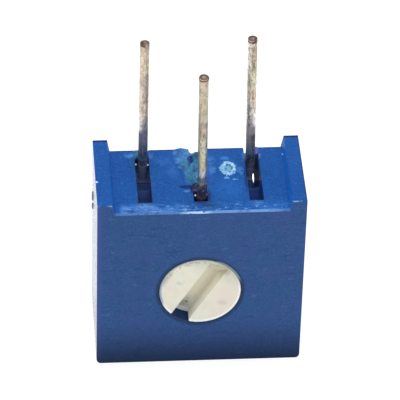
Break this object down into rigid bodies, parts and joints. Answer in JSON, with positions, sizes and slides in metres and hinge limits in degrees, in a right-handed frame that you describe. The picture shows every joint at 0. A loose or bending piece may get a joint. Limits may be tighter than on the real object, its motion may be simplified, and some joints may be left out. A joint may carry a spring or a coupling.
{
  "type": "trimmer potentiometer",
  "caption": "Square-bodied trimmer potentiometer with a screwdriver rotor in its front face and wire pins that leave its top edge for a circuit board.",
  "frame": {"origin": "centre of the body's plain bottom edge face, the face that it stands on", "axes": "+X to the right as seen from the rotor face, -Y out of the rotor face, +Z along the pins"},
  "size_m": [0.0096, 0.0048, 0.016],
  "materials": {
    "housing_plastic": "moulded glass-filled polyester, matte, scuffed along its edges",
    "rotor_plastic": "moulded cream thermoplastic, smudged",
    "seal_rubber": "nitrile rubber",
    "wiper_metal": "stamped spring alloy, plain",
    "plate_ceramic": "fired alumina",
    "track_cermet": "fired cermet film",
    "conductor_film": "fired silver-palladium film",
    "pin_wire": "tinned copper wire, mottled, cut ends brown",
    "solder": "tin solder",
    "potting_epoxy": "cast turquoise epoxy, rough where it climbs out of the slots"
  },
  "bodies": {
    "case": {"housing": "housing_plastic", "element_substrate": "plate_ceramic", "resistive_track": "track_cermet", "collector_pad": "conductor_film", "termination_pad_left": "conductor_film", "termination_pad_right": "conductor_film", "pin_left": "pin_wire", "pin_middle": "pin_wire", "pin_right": "pin_wire", "solder_joint_left": "solder", "solder_joint_middle": "solder", "solder_joint_right": "solder", "potting_seal": "potting_epoxy"},
    "rotor": {"rotor": "rotor_plastic", "rotor_seal_ring": "seal_rubber", "wiper_spring": "wiper_metal"}
  },
  "joints": [
    {"name": "rotor_turn", "type": "hinge", "parent": "case", "child": "rotor", "pos_m": [0, -0.00242, 0.0043], "axis": [0, -1, 0], "range_deg": [-124.7, 185.3]}
  ]
}
